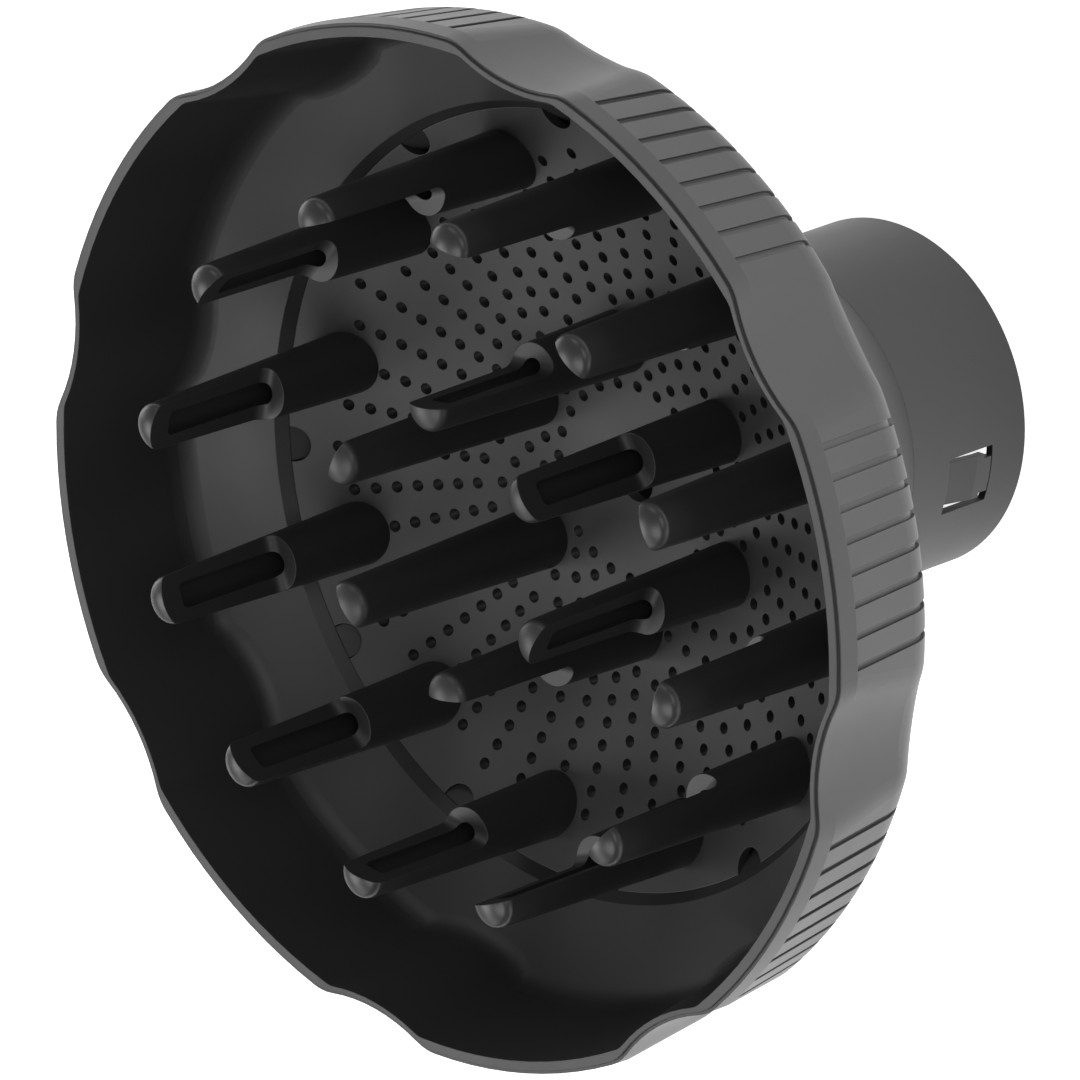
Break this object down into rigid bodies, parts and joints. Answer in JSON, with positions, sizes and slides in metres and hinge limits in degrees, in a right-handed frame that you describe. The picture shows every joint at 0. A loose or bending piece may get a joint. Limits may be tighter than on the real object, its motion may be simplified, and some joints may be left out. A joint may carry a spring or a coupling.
{
  "type": "dryer diffuser",
  "caption": "Hair dryer diffuser: lobed bowl with a perforated dish of slotted hollow fingers, on a flared shell with a nozzle socket and spring tongues.",
  "frame": {"origin": "centre of the socket's open end, which is the plane the part stands on with its mouth up", "axes": "+Z along the airflow from the socket to the mouth, +X through the middle of one lobe"},
  "size_m": [0.1612, 0.1612, 0.1089],
  "materials": {
    "shell": "fine satin moulded plastic",
    "plate": "fine matte moulded plastic",
    "finger": "satin moulded plastic with smooth tips"
  },
  "bodies": {
    "diffuser": {"bowl": "shell", "finger_plate": "plate", "rear_shell": "shell", "collar": "shell", "finger_outer_01": "finger", "finger_outer_02": "finger", "finger_outer_03": "finger", "finger_outer_04": "finger", "finger_outer_05": "finger", "finger_outer_06": "finger", "finger_outer_07": "finger", "finger_outer_08": "finger", "finger_outer_09": "finger", "finger_outer_10": "finger", "finger_outer_11": "finger", "finger_outer_12": "finger", "finger_inner_01": "finger", "finger_inner_02": "finger", "finger_inner_03": "finger", "finger_inner_04": "finger", "finger_inner_05": "finger", "finger_inner_06": "finger"},
    "tongue_01": {"tongue_01": "shell"},
    "tongue_02": {"tongue_02": "shell"}
  },
  "joints": [
    {"name": "tongue_flex_01", "type": "hinge", "parent": "diffuser", "child": "tongue_01", "pos_m": [-0.02476, 0.01026, 0.0075], "axis": [-0.3827, -0.9239, 0], "range_deg": [0, 6.5], "stiffness_Nm_per_rad": 0.25},
    {"name": "tongue_flex_02", "type": "hinge", "parent": "diffuser", "child": "tongue_02", "pos_m": [0.02476, -0.01026, 0.0075], "axis": [0.3827, 0.9239, 0], "range_deg": [0, 6.5], "stiffness_Nm_per_rad": 0.25}
  ]
}
